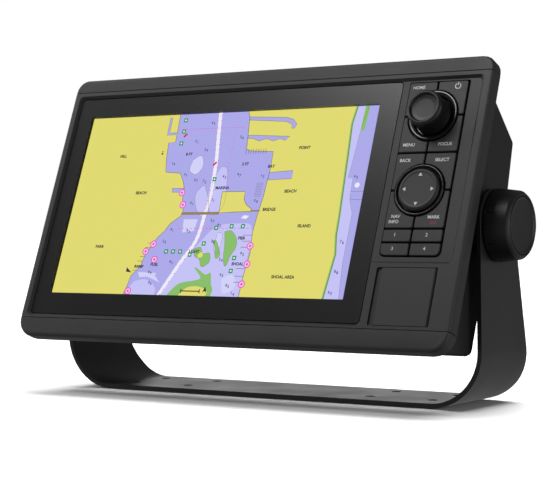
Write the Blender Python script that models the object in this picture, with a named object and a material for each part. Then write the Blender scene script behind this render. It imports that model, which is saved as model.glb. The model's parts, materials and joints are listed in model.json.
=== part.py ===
"""A marine chartplotter display: an instrument head that tilts on a bail bracket.

Dimensions are in millimetres and are scaled to metres where a mesh or a place is made.
Bracket frame: origin at the centre of the base's underside, +X to the right of someone facing the screen,
+Y away from them, +Z up. Face frame: origin at the centre of the head's front plane, +X right, +Y into the
head, +Z up the face. Every place on the head is in the face frame.
"""

import math

import bmesh
import bpy
from mathutils import Vector

MM = 0.001
GAP = 0.3  # between pieces that touch

# Where the head sits on the bracket
TILT = math.radians(21)
PIVOT_Y, PIVOT_Z = -12.8, 108.5  # bracket frame
PIVOT_DEPTH, PIVOT_RISE = 42.3, 1.2  # face frame

# Bracket
STRIP = 2.85  # thickness of the bent strip
ARM_OUTSIDE = 155.85
BEND_RADIUS = 34.8
BASE_FRONT, BASE_REAR = -32.7, 32.6
ARM_TOP = 130.2
TAPER_FROM = 12.6  # height where the arms start to taper
FRONT_LEAN, REAR_LEAN = -0.015, -0.233
BASE_HOLE_X = (69.84, 113.25)
BASE_HOLE_Y = (-14.8, 18.6)
BASE_HOLE_RADIUS = 3.25
STUD_HOLE_RADIUS = 3.5

# Head outline
HALF_WIDTH = 158.75
HEAD_BOTTOM, HEAD_TOP = -90.9, 93.0
TOP_CORNER, BOTTOM_CORNER = 9.0, 12.0
RIM_DEPTH = 10.0
SEAT_DEPTH = 9.7  # the housing's flange sits a little below the rim's rear edge
EDGE_ROUND = 2.2
SEAM_TOP, SEAM_BOTTOM = 83.0, -78.5
TRIM_WALL = 2.0
FLUSH_HOLES = ((-151, 86.2), (151, 86.2), (-151, -84.0), (151, -84.0))
FLUSH_HOLE_RADIUS = 2.1
OVERSHOOT = 1.0  # how far a cutter runs past the face it starts from

# Recess for glass and keys, an L whose lower right corner is left to the card door
RECESS_DEPTH, RECESS_SLOPE = 1.8, 1.5
RECESS = dict(left=-152.0, right=151.5, bottom=-75.4, top=78.9, step_x=98.9, step_z=-36.7)
GLASS_THICK = 1.8
LCD_CENTRE, LCD_SIZE = (-27.0, 1.8), (228.0, 136.0)
LCD_FRONT, LCD_BACK = 4.3, 9.6
WEB_BACK = 6.5  # back of the bezel's front wall
SHELL_FRONT = SEAT_DEPTH + GAP

# Keypad
PAD = dict(left=103.4, right=143.9, bottom=-34.0, top=77.9)
PAD_FLOOR = 5.0
HUB_X = 122.9
KNOB_Z, DPAD_Z = 55.2, 7.6
ROW_EDGES = (77.4, 31.5, -16.5, -25.0, -33.5)
KEYS_LEFT, KEYS_RIGHT = 103.8, 142.9
KEY_GAP = 0.9
KEY_FRONT, KEY_BACK, STEM_BACK = 1.2, 4.0, 6.9
STEM = (3.5, 2.0)  # half sizes
STEM_CLEARANCE = 0.6
HUB_CUT = 16.6  # radius of the round bite in the keys
SHAFT_HOLE, POST_HOLE = 4.2, 3.2  # radii of the holes behind the knob and the pad
COLLAR_RADIUS = 16.0
MAT_FRONT, MAT_BACK = 7.9, 10.0
BOARD_FRONT, BOARD_BACK = 10.8, 12.4

# Card door
DOOR = dict(left=108.3, bottom=-76.1, top=-41.1)
DOOR_THICK = 2.4
DOOR_PIN = (142.4, 1.9)
BARREL_RADIUS, PIN_RADIUS = 1.9, 0.8
PIN_ENDS = (-77.6, -39.5)
POCKET = dict(left=104.9, right=144.7, bottom=-76.4, top=-40.8)
GROOVE_DEPTH, POCKET_DEPTH = 1.3, 4.3
BAY = dict(left=117.0, right=134.0, bottom=-68.0, top=-49.0)
BAY_BACK = 14.0

# Rear housing
SHELL_HALF = 147.8
WALL = 2.6
SHELL_PROFILE = ((6, -89.2), (53.7, -77.2), (53.7, -57), (65.7, 34), (62.5, 63.5), (6, 88.2))
SHELL_ROUNDS = (0, 6, 0, 3, 3, 0)
SHELL_END_ROUND = 2.4
EAR_HALF, EAR_BOTTOM, EAR_TOP, EAR_THICK = 155.5, -70, 76, 3.0
SCREW_X, SCREW_ZS = 152.6, (68, 2, -62)
SCREW_RADIUS, SCREW_HEAD, SCREW_TIP = 1.35, 2.7, 4.5
BOSS_FACE = 149.2
BOSS_RADIUS, INSERT_RADIUS, PAD_RADIUS = 18.0, 5.0, 17.0
INSERT_INNER_END = 136.3
SOCKET_BAY = dict(left=-73, right=73, bottom=-52, top=13)
SOCKET_FLOOR = 52.0
SOCKET_Z, SOCKET_END = -20, 64.5
SOCKET_WALL = 1.7
SOCKETS = (  # name, place across, radius
    ("power_socket", -51, 9.5),
    ("data_socket", -18, 8.0),
    ("sonar_socket", 16, 9.5),
    ("radar_socket", 50, 8.0),
)
VENT = (-60, -65)
VENT_RADIUS = 3.5

# Clamp knobs
KNOB_IN, KNOB_OUT = 156.15, 172.2
KNOB_RADIUS, KNOB_TOP_RADIUS = 22.0, 20.4
STUD_RADIUS, STUD_START, STUD_END = 3.0, 137.5, 168.0
CAP_RADIUS, CAP_RECESS = 17.0, 1.2
NOTCHES, NOTCH_LENGTH = 7, 9.0
FIRST_NOTCH = math.radians(20.5)  # above the horizontal, towards the screen

# name: (colour, roughness, metallic)
FINISHES = {
    "bezel": ((0.045, 0.045, 0.047), 0.5, 0.0),
    "shell": ((0.012, 0.012, 0.013), 0.6, 0.0),
    "bracket": ((0.030, 0.030, 0.032), 0.45, 0.0),
    "knob": ((0.018, 0.018, 0.019), 0.5, 0.0),
    "key": ((0.040, 0.040, 0.042), 0.45, 0.0),
    "gloss": ((0.012, 0.012, 0.013), 0.15, 0.0),
    "glass": ((0.010, 0.010, 0.011), 0.08, 0.0),
    "panel": ((0.30, 0.30, 0.32), 0.4, 0.0),
    "rubber": ((0.015, 0.015, 0.015), 0.8, 0.0),
    "silicone": ((0.20, 0.20, 0.21), 0.7, 0.0),
    "board": ((0.010, 0.090, 0.040), 0.5, 0.0),
    "sheet": ((0.55, 0.55, 0.56), 0.4, 1.0),
    "steel": ((0.50, 0.50, 0.50), 0.3, 1.0),
    "brass": ((0.60, 0.42, 0.15), 0.35, 1.0),
}


def loft(rings, ring_shaped=False):
    """Points and faces of a body through rings of equal length. A ring-shaped one meets its own start."""
    count = len(rings[0])
    points = [tuple(point) for ring in rings for point in ring]
    spans = len(rings) if ring_shaped else len(rings) - 1
    faces = []
    for k in range(spans):
        near, far = k * count, (k + 1) % len(rings) * count
        for i in range(count):
            j = (i + 1) % count
            faces.append((near + i, near + j, far + j, far + i))
    if not ring_shaped:
        faces.append(tuple(range(count)))
        faces.append(tuple(range(len(points) - count, len(points))))
    return points, faces


def merged(shapes):
    """Several separate shapes as one."""
    points, faces = [], []
    for more_points, more_faces in shapes:
        start = len(points)
        points += more_points
        faces += [tuple(start + i for i in face) for face in more_faces]
    return points, faces


def rounded(corners, radii, steps=4):
    """A polygon whose corners are arcs. radii is one radius, or one for each corner."""
    if not isinstance(radii, (list, tuple)):
        radii = [radii] * len(corners)
    outline = []
    for i, (corner, radius) in enumerate(zip(corners, radii)):
        corner = Vector(corner)
        if radius <= 0:
            outline.append(tuple(corner))
            continue
        back = (Vector(corners[i - 1]) - corner).normalized()
        ahead = (Vector(corners[(i + 1) % len(corners)]) - corner).normalized()
        half = back.angle(ahead) / 2
        centre = corner + (back + ahead).normalized() * radius / math.sin(half)
        first = corner + back * radius / math.tan(half) - centre
        last = corner + ahead * radius / math.tan(half) - centre
        # slerp gives unit vectors.
        outline += [tuple(centre + first.slerp(last, k / steps) * radius) for k in range(steps + 1)]
    return outline


def grown(corners, by):
    """An anticlockwise polygon with every side moved out by the same distance."""
    result = []
    for i, corner in enumerate(corners):
        corner = Vector(corner)
        before = (corner - Vector(corners[i - 1])).normalized()
        after = (Vector(corners[(i + 1) % len(corners)]) - corner).normalized()
        out_before, out_after = Vector((before.y, -before.x)), Vector((after.y, -after.x))
        bisector = (out_before + out_after).normalized()
        result.append(tuple(corner + bisector * by / bisector.dot(out_before)))
    return result


def box_corners(left, right, bottom, top):
    return [(left, bottom), (right, bottom), (right, top), (left, top)]


def prism_y(outline, near, far):
    return loft([[(x, y, z) for x, z in outline] for y in (near, far)])


def prism_x(outline, near, far):
    return loft([[(x, y, z) for y, z in outline] for x in (near, far)])


def box(x0, x1, y0, y1, z0, z1):
    return prism_y(box_corners(x0, x1, z0, z1), y0, y1)


def plate(left, right, bottom, top, near, far, radius=0.0, steps=3):
    return prism_y(rounded(box_corners(left, right, bottom, top), radius, steps), near, far)


def stepped(outline_at, sections):
    """A body along Y from (y, growth) sections of one outline."""
    return loft([[(x, y, z) for x, z in outline_at(growth)] for y, growth in sections])


def turned(profile, axis, centre=(0, 0, 0), segments=24, ring_shaped=False):
    """A round body from (radius, distance along the axis) points."""
    along = "XYZ".index(axis)
    across = [i for i in range(3) if i != along]
    rings = []
    for radius, distance in profile:
        ring = []
        for k in range(segments):
            turn = 2 * math.pi * k / segments
            point = list(centre)
            point[along] += distance
            point[across[0]] += radius * math.cos(turn)
            point[across[1]] += radius * math.sin(turn)
            ring.append(tuple(point))
        rings.append(ring)
    return loft(rings, ring_shaped)


def rod(radius, near, far, axis, centre=(0, 0, 0), segments=16):
    return turned([(radius, near), (radius, far)], axis, centre, segments)


def mesh_of(name, shape):
    points, faces = shape
    bm = bmesh.new()
    corners = [bm.verts.new(Vector(point) * MM) for point in points]
    for face in faces:
        bm.faces.new([corners[i] for i in face])
    bmesh.ops.recalc_face_normals(bm, faces=bm.faces)
    mesh = bpy.data.meshes.new(name)
    bm.to_mesh(mesh)
    bm.free()
    return mesh


def linked(name, data, at, parent):
    obj = bpy.data.objects.new(name, data)
    obj.location = Vector(at) * MM
    obj.parent = parent
    bpy.context.scene.collection.objects.link(obj)
    return obj


def piece(name, shape, finish, parent=None, at=(0, 0, 0)):
    """A sub-part. Its shape is given about its own origin, which is at `at` in its parent."""
    mesh = mesh_of(name, shape)
    mesh.shade_smooth()
    mesh.set_sharp_from_angle(angle=math.radians(35))
    colour, roughness, metallic = FINISHES[finish]
    material = bpy.data.materials.new(name)
    material.use_nodes = True
    shader = material.node_tree.nodes["Principled BSDF"]
    shader.inputs["Base Color"].default_value = (*colour, 1.0)
    shader.inputs["Roughness"].default_value = roughness
    shader.inputs["Metallic"].default_value = metallic
    mesh.materials.append(material)
    return linked(name, mesh, at, parent)


def combine(obj, operation, shape):
    """Adds a Boolean with a hidden tool in the object's own frame."""
    name = f"{obj.name}_tool_{len(obj.modifiers)}"
    tool = linked(name, mesh_of(name, shape), obj.location / MM, obj.parent)
    tool.hide_render = True
    tool.display_type = "WIRE"
    boolean = obj.modifiers.new(name, "BOOLEAN")
    boolean.operation = operation
    boolean.solver = "EXACT"
    boolean.object = tool
    return tool


def cut(obj, shape):
    return combine(obj, "DIFFERENCE", shape)


def join(obj, shape):
    return combine(obj, "UNION", shape)


def moved(shape, by):
    points, faces = shape
    return [tuple(Vector(point) + Vector(by)) for point in points], faces


# ---------------------------------------------------------------- bracket and clamp knobs


def build_bracket():
    arm_in, above = ARM_OUTSIDE - STRIP, ARM_TOP + 10
    corners = [(-ARM_OUTSIDE, above), (-ARM_OUTSIDE, 0), (ARM_OUTSIDE, 0), (ARM_OUTSIDE, above)]
    corners += [(arm_in, above), (arm_in, STRIP), (-arm_in, STRIP), (-arm_in, above)]
    inner_bend = BEND_RADIUS - STRIP
    radii = [0, BEND_RADIUS, BEND_RADIUS, 0, 0, inner_bend, inner_bend, 0]
    bracket = piece("bail_bracket", prism_y(rounded(corners, radii, 9), -60, 60), "bracket")

    rise = ARM_TOP - TAPER_FROM
    side = [(BASE_FRONT, -5), (BASE_REAR, -5), (BASE_REAR, TAPER_FROM)]
    side += [(BASE_REAR + REAR_LEAN * rise, ARM_TOP), (BASE_FRONT + FRONT_LEAN * rise, ARM_TOP)]
    side.append((BASE_FRONT, TAPER_FROM))
    reach = ARM_OUTSIDE + 5
    combine(bracket, "INTERSECT", prism_x(rounded(side, [0, 0, 0, 18, 18, 0], 6), -reach, reach))

    holes = []
    for x in BASE_HOLE_X:
        for y in BASE_HOLE_Y:
            for side_x in (-x, x):
                holes.append(rod(BASE_HOLE_RADIUS, -3, STRIP + 3, "Z", (side_x, y, 0), 12))
    cut(bracket, merged(holes))
    cut(bracket, rod(STUD_HOLE_RADIUS, -reach, reach, "X", (0, PIVOT_Y, PIVOT_Z)))


def build_clamp(side, name):
    """A clamp knob, its stud and its cap. side is 1 on the right and -1 on the left."""
    pivot = (0, PIVOT_Y, PIVOT_Z)

    def along(profile):
        return [(radius, side * x) for radius, x in profile]

    cap_floor = KNOB_OUT - CAP_RECESS
    body = [
        (CAP_RADIUS + 0.4, cap_floor),
        (CAP_RADIUS + 0.4, KNOB_OUT),
        (KNOB_TOP_RADIUS - 1.5, KNOB_OUT),
        (KNOB_TOP_RADIUS, KNOB_OUT - 1.5),
        (KNOB_RADIUS, KNOB_IN + 0.8),
        (KNOB_RADIUS - 0.8, KNOB_IN),
        (STUD_RADIUS + GAP, KNOB_IN),
        (STUD_RADIUS + GAP, STUD_END + GAP),
    ]
    knob = piece(f"{name}_knob", turned(along(body), "X", segments=28), "knob", at=pivot)
    notches = []
    for k in range(NOTCHES):
        # The first notch is towards the screen, which is -Y.
        turn = math.pi - FIRST_NOTCH + 2 * math.pi * k / NOTCHES
        outward = Vector((math.cos(turn), math.sin(turn)))
        across = Vector((-outward.y, outward.x))
        wide_end, point = outward * (KNOB_RADIUS + 1), outward * (KNOB_RADIUS - 1.4)
        outline = [tuple(wide_end - across), tuple(wide_end + across), tuple(point)]
        start = KNOB_IN + 1.6
        notches.append(prism_x(outline, side * start, side * (start + NOTCH_LENGTH)))
    cut(knob, merged(notches))

    stud = along([(STUD_RADIUS - 0.5, STUD_START), (STUD_RADIUS, STUD_START + 0.5), (STUD_RADIUS, STUD_END)])
    piece(f"{name}_stud", turned(stud, "X", segments=16), "steel", at=pivot)
    cap = [(CAP_RADIUS, cap_floor + GAP), (CAP_RADIUS, KNOB_OUT - 0.3)]
    cap = along(cap + [(CAP_RADIUS - 0.6, KNOB_OUT), (CAP_RADIUS - 1.4, KNOB_OUT - 0.4)])
    piece(f"{name}_knob_cap", turned(cap, "X", segments=28), "knob", at=pivot)


# ---------------------------------------------------------------- front of the head


def head_outline(growth=0.0):
    corners = box_corners(-HALF_WIDTH, HALF_WIDTH, HEAD_BOTTOM, HEAD_TOP)
    radii = [BOTTOM_CORNER, BOTTOM_CORNER, TOP_CORNER, TOP_CORNER]
    return rounded(grown(corners, growth), [radius + growth for radius in radii], 5)


def head_block():
    soft = EDGE_ROUND * (1 - math.sqrt(0.5))
    sections = [(0, -EDGE_ROUND), (soft, -soft), (EDGE_ROUND, 0), (RIM_DEPTH - 0.8, 0), (RIM_DEPTH, -0.8)]
    return stepped(head_outline, sections)


def recess_outline(growth=0.0):
    r = RECESS
    corners = [(r["left"], r["bottom"]), (r["step_x"], r["bottom"]), (r["step_x"], r["step_z"])]
    corners += [(r["right"], r["step_z"]), (r["right"], r["top"]), (r["left"], r["top"])]
    inside = 2.5 - 0.5 * growth
    return rounded(grown(corners, growth), [2.5, 2.5, inside, 2.5, 2.5, 2.5], 3)


def glass_edges(margin):
    r = RECESS
    return r["left"] + margin, r["step_x"] - margin, r["bottom"] + margin, r["top"] - margin


def lcd_edges(margin):
    (x, z), (width, height) = LCD_CENTRE, LCD_SIZE
    return x - width / 2 - margin, x + width / 2 + margin, z - height / 2 - margin, z + height / 2 + margin


def gasket_ring(spread, near, far):
    """The seal's path on the housing's front edge, as a ring of rectangular section."""
    side = SHELL_HALF - WALL / 2
    middle = box_corners(-side, side, -86.8, 84.9)
    outside = rounded(grown(middle, spread), 3 + spread)
    inside = rounded(grown(middle, -spread), 3 - spread)
    sections = ((outside, near), (outside, far), (inside, far), (inside, near))
    return loft([[(x, y, z) for x, z in outline] for outline, y in sections], ring_shaped=True)


def build_bezel(face):
    bezel = piece("front_bezel", head_block(), "bezel", face)
    wide, half_gap = HALF_WIDTH + 5, GAP / 2
    cut(bezel, box(-wide, wide, -5, 20, SEAM_TOP - half_gap, HEAD_TOP + 5))
    cut(bezel, box(-wide, wide, -5, 20, HEAD_BOTTOM - 5, SEAM_BOTTOM + half_gap))
    rail = TRIM_WALL + GAP
    seat = EAR_HALF + GAP
    cut(bezel, box(-seat, seat, SEAT_DEPTH, 20, HEAD_BOTTOM - 5, HEAD_TOP + 5))
    join(bezel, stepped(head_outline, [(rail, -rail), (SEAT_DEPTH, -rail)]))

    slope = RECESS_SLOPE / RECESS_DEPTH
    cut(bezel, stepped(recess_outline, [(-1, RECESS_SLOPE + slope), (RECESS_DEPTH, 0)]))
    glass_floor = RECESS_DEPTH + GLASS_THICK + GAP
    cut(bezel, plate(*glass_edges(0.01), RECESS_DEPTH - 0.5, glass_floor, radius=2.4))
    behind = RIM_DEPTH + OVERSHOOT
    cut(bezel, plate(*lcd_edges(0.6), glass_floor - OVERSHOOT, behind))
    cut(bezel, plate(-142.9, 142.9, -73, 80, WEB_BACK, behind, radius=4))

    corners = box_corners(**PAD)
    cut(bezel, prism_y(rounded(corners, [3.5, 3.5, 1.0, 1.0]), RECESS_DEPTH - OVERSHOOT, PAD_FLOOR))
    near, far = PAD_FLOOR - OVERSHOOT, WEB_BACK + OVERSHOOT
    through = [stem_shape(name, STEM_CLEARANCE, near, far) for name in KEY_PLACES]
    through.append(rod(SHAFT_HOLE, near, far, "Y", (HUB_X, 0, KNOB_Z)))
    through.append(rod(POST_HOLE, near, far, "Y", (HUB_X, 0, DPAD_Z)))
    cut(bezel, merged(through))

    corners = box_corners(**POCKET)
    # The corners beside the hinge are tight, because the open door stands in them.
    cut(bezel, prism_y(rounded(corners, [1.2, 0.2, 0.2, 1.2], 2), -1, GROOVE_DEPTH))
    cut(bezel, box(DOOR["left"] - GAP, POCKET["right"], 0.5, POCKET_DEPTH, POCKET["bottom"], POCKET["top"]))
    cut(bezel, plate(**BAY, near=POCKET_DEPTH - OVERSHOOT, far=behind))
    pin_low, pin_high = PIN_ENDS
    cut(bezel, rod(PIN_RADIUS + GAP, pin_low - GAP, pin_high + GAP, "Z", (*DOOR_PIN, 0), 12))

    holes = [rod(FLUSH_HOLE_RADIUS, 0.5, behind, "Y", (x, 0, z), 12) for x, z in FLUSH_HOLES]
    for side in (-1, 1):
        for z in SCREW_ZS:
            holes.append(rod(SCREW_RADIUS + GAP, SCREW_TIP - 0.5, behind, "Y", (side * SCREW_X, 0, z), 12))
    cut(bezel, merged(holes))
    cut(bezel, gasket_ring(1.1, SEAT_DEPTH - 1.2, behind))


def build_trims(face):
    """Two shells that clip over the bezel's rails and hide the flush-mounting holes."""
    wide, half_gap = HALF_WIDTH + 5, GAP / 2
    keep = (
        ("top_trim", HEAD_BOTTOM - 5, SEAM_TOP + half_gap),
        ("bottom_trim", SEAM_BOTTOM - half_gap, HEAD_TOP + 5),
    )
    for name, low, high in keep:
        trim = piece(name, head_block(), "bezel", face)
        cut(trim, box(-wide, wide, -5, 20, low, high))
        cut(trim, stepped(head_outline, [(TRIM_WALL, -TRIM_WALL), (RIM_DEPTH + OVERSHOOT, -TRIM_WALL)]))


def build_display(face):
    near = RECESS_DEPTH
    piece("cover_glass", plate(*glass_edges(GAP), near, near + GLASS_THICK, radius=2.2), "glass", face)
    piece("lcd_panel", plate(*lcd_edges(0), LCD_FRONT, LCD_BACK), "panel", face)
    frame = piece("display_frame", plate(-141, 94, -71, 76, LCD_BACK + GAP, LCD_BACK + 1.5), "sheet", face)
    cut(frame, plate(-118, 62, -45, 52, LCD_BACK - 1, LCD_BACK + 3, radius=5))
    piece("case_gasket", gasket_ring(0.8, SEAT_DEPTH - 0.9, SEAT_DEPTH), "rubber", face)


# ---------------------------------------------------------------- keypad

# name: (side of the hub in X, side of the hub in Z, height of the hub), or the plain keys' (column, row)
KEY_PLACES = {
    "home_key": (-1, 1, KNOB_Z),
    "power_key": (1, 1, KNOB_Z),
    "menu_key": (-1, -1, KNOB_Z),
    "focus_key": (1, -1, KNOB_Z),
    "back_key": (-1, 1, DPAD_Z),
    "select_key": (1, 1, DPAD_Z),
    "info_key": (-1, -1, DPAD_Z),
    "mark_key": (1, -1, DPAD_Z),
    "key_1": (-1, 0),
    "key_2": (1, 0),
    "key_3": (-1, 1),
    "key_4": (1, 1),
}


def key_edges(name):
    """Left, right, bottom and top of a key."""
    place = KEY_PLACES[name]
    half_gap = KEY_GAP / 2
    left, right = (KEYS_LEFT, HUB_X - half_gap) if place[0] < 0 else (HUB_X + half_gap, KEYS_RIGHT)
    if len(place) == 2:
        top, bottom = ROW_EDGES[2 + place[1]], ROW_EDGES[3 + place[1]]
        return left, right, bottom + half_gap, top - half_gap
    _, up, hub_z = place
    limits = {(1, KNOB_Z): ROW_EDGES[0], (-1, KNOB_Z): ROW_EDGES[1] + half_gap}
    limits.update({(1, DPAD_Z): ROW_EDGES[1] - half_gap, (-1, DPAD_Z): ROW_EDGES[2] + half_gap})
    near, far = hub_z + up * half_gap, limits[up, hub_z]
    return left, right, min(near, far), max(near, far)


def hub_key_outline(name, growth):
    """A key with a round bite where the hub of its group is. u and v run away from the hub."""
    side, up, hub_z = KEY_PLACES[name]
    left, right, bottom, top = key_edges(name)
    reach_u = max(abs(left - HUB_X), abs(right - HUB_X)) + growth
    reach_v = max(abs(bottom - hub_z), abs(top - hub_z)) + growth
    inner, bite = KEY_GAP / 2 - growth, HUB_CUT - growth
    start = math.asin(inner / bite)
    steps = 7
    turns = [start + (math.pi / 2 - 2 * start) * k / steps for k in range(steps + 1)]
    corners = [(bite * math.cos(turn), bite * math.sin(turn)) for turn in turns]
    radii = [0] * len(corners) + [0.8, 1.0, 0.8]
    corners += [(inner, reach_v), (reach_u, reach_v), (reach_u, inner)]
    return [(HUB_X + side * u, hub_z + up * v) for u, v in rounded(corners, radii, 2)]


def plain_key_outline(name, growth):
    corners = grown(box_corners(*key_edges(name)), growth)
    outer = 2.8 if name in ("key_3", "key_4") else 0.8
    radii = [0.8, 0.8, 0.8, 0.8]
    radii[0 if KEY_PLACES[name][0] < 0 else 1] = outer
    return rounded(corners, radii, 2)


def stem_centre(name):
    left, right, bottom, top = key_edges(name)
    place = KEY_PLACES[name]
    if len(place) == 2:
        return (left + right) / 2, (bottom + top) / 2
    x = left + 7 if place[0] < 0 else right - 7
    return x, top - 5.5 if place[1] > 0 else bottom + 5.5


def stem_shape(name, clearance, near, far):
    x, z = stem_centre(name)
    wide, tall = STEM[0] + clearance, STEM[1] + clearance
    return plate(x - wide, x + wide, z - tall, z + tall, near, far)


def build_keys(face):
    for name in KEY_PLACES:
        outline = plain_key_outline if len(KEY_PLACES[name]) == 2 else hub_key_outline
        sections = [(KEY_FRONT, -0.4), (KEY_FRONT + 0.4, 0), (KEY_BACK, 0)]
        cap = stepped(lambda growth, key=name, shape=outline: shape(key, growth), sections)
        x, z = stem_centre(name)
        home = (x, KEY_FRONT, z)
        back = (-x, -KEY_FRONT, -z)
        key = piece(name, moved(cap, back), "key", face, home)
        join(key, moved(stem_shape(name, 0, KEY_BACK - 0.5, STEM_BACK), back))


def build_keypad(face):
    mat = piece("keypad_mat", plate(104, 142.4, -33.5, 77.5, MAT_FRONT, MAT_BACK), "silicone", face)
    cut(mat, plate(HUB_X - 7, HUB_X + 7, KNOB_Z - 7, KNOB_Z + 7, MAT_FRONT - 1, MAT_BACK + 1))
    piece("keypad_board", plate(104, 142.4, -34, 78, BOARD_FRONT, BOARD_BACK), "board", face)

    floor = PAD_FLOOR - GAP
    collar = [(COLLAR_RADIUS, floor), (COLLAR_RADIUS, 1.6), (15.3, 0.5), (14.6, 0.5), (12.9, 2.5)]
    collar += [(8.0, 3.2), (4.2, 3.2), (4.2, floor)]
    hub = (HUB_X, 0, KNOB_Z)
    collar = turned(collar, "Y", segments=28, ring_shaped=True)
    piece("knob_collar", collar, "gloss", face, hub)
    ring = [(COLLAR_RADIUS, floor), (COLLAR_RADIUS, 1.4), (15.4, 0.4), (14.8, 0.3)]
    ring += [(14.3, 0.8), (14.3, floor)]
    middle = (HUB_X, 0, DPAD_Z)
    ring = turned(ring, "Y", segments=28, ring_shaped=True)
    piece("dpad_ring", ring, "gloss", face, middle)

    # The pad tips about the centre of its pivot's ball.
    ball_depth, ball = 5.4, 2.2
    tip = (HUB_X, ball_depth, DPAD_Z)
    pad = [(3.0, -0.9), (11.6, -1.1), (12.8, -0.6), (13.3, 0.3), (13.3, 3.9)]
    pad = [(radius, depth - ball_depth) for radius, depth in pad]
    piece("dpad_cap", turned(pad, "Y", segments=28), "key", face, tip)
    bend = [math.radians(angle) for angle in (-35, 0, 35, 65)]
    post = [(ball * math.cos(turn), ball * math.sin(turn)) for turn in bend]
    post[0] = (post[0][0], -1.2)
    piece("dpad_pivot", turned(post, "Y", segments=16), "steel", face, tip)


def build_encoder(face):
    hub = (HUB_X, 0, KNOB_Z)
    can = plate(-6, 6, -6, 6, WEB_BACK + GAP, BOARD_FRONT - GAP)
    body = piece("encoder_body", can, "steel", face, hub)
    cut(body, rod(3.4, WEB_BACK - 1, BOARD_FRONT - 0.7, "Y"))
    piece("encoder_plunger", rod(2.0, 8.2, 9.4, "Y"), "silicone", face, hub)
    shaft = turned([(2.6, -8.0), (3.0, -7.6), (3.0, 7.9)], "Y", segments=16)
    piece("encoder_shaft", shaft, "steel", face, hub)
    knob = [(3.0, -10.4), (7.6, -10.7), (8.9, -11.5), (9.5, -11.8), (10.3, -11.8), (10.9, -11.3)]
    knob += [(11.0, -10.2), (10.6, -4.0), (11.1, -0.6), (12.0, 1.5), (11.6, 1.9), (3.4, 1.9), (3.4, -8.3)]
    piece("zoom_knob", turned(knob, "Y", segments=24), "knob", face, hub)


# ---------------------------------------------------------------- card door and reader


def build_card_bay(face):
    """The door turns about a pin inside its right edge, so it opens from the finger groove on the left."""
    pin_x, pin_y = DOOR_PIN
    low, high = DOOR["bottom"], DOOR["top"]
    arc = [math.radians(angle) for angle in range(-90, 91, 30)]
    section = [(BARREL_RADIUS * math.cos(turn), BARREL_RADIUS * math.sin(turn)) for turn in arc]
    section += [(-1.8, DOOR_THICK - pin_y), (DOOR["left"] - pin_x, DOOR_THICK - pin_y)]
    section += [(DOOR["left"] - pin_x, 0.5 - pin_y), (DOOR["left"] - pin_x + 0.5, -pin_y)]
    shape = loft([[(x, y, z) for x, y in section] for z in (low, high)])
    axis = (pin_x, pin_y, 0)
    door = piece("card_door", shape, "bezel", face, axis)
    cut(door, rod(PIN_RADIUS + GAP, low - 1, high + 1, "Z", segments=12))
    piece("card_door_pin", rod(PIN_RADIUS, *PIN_ENDS, "Z", segments=12), "steel", face, axis)

    inside = rounded(grown(box_corners(**BAY), 1.6), 2.5, 3)
    outside = rounded(grown(box_corners(**BAY), 4.4), 4.5, 3)
    near, far = DOOR_THICK + GAP, POCKET_DEPTH - GAP
    sections = ((outside, near), (outside, far), (inside, far), (inside, near))
    rings = [[(x - pin_x, y - pin_y, z) for x, z in outline] for outline, y in sections]
    piece("card_door_seal", loft(rings, ring_shaped=True), "rubber", face, axis)

    block = plate(BAY["left"] - 4, BAY["right"] + 4, BAY["bottom"] - 4, BAY["top"] + 4, WEB_BACK + GAP, 26)
    reader = piece("card_reader", block, "shell", face)
    cut(reader, plate(**BAY, near=WEB_BACK - 1, far=BAY_BACK))
    slots = [box(120, 131.5, BAY_BACK - 1, 24, z - 0.9, z + 0.9) for z in (-63, -54)]
    cut(reader, merged(slots))


# ---------------------------------------------------------------- rear of the head


def shell_block(growth, half_width, soft):
    """The housing's side profile carried across its width, with softened ends."""
    rings = []
    steps = ((-half_width, -soft), (-half_width + 0.3 * soft, -0.3 * soft), (-half_width + soft, 0))
    steps += tuple((-x, inset) for x, inset in reversed(steps))
    for x, inset in steps:
        profile = grown(SHELL_PROFILE, growth + inset)
        radii = [max(radius + growth + inset, 0.4) if radius else 0 for radius in SHELL_ROUNDS]
        rings.append([(x, y, z) for y, z in rounded(profile, radii, 3)])
    return loft(rings)


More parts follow.
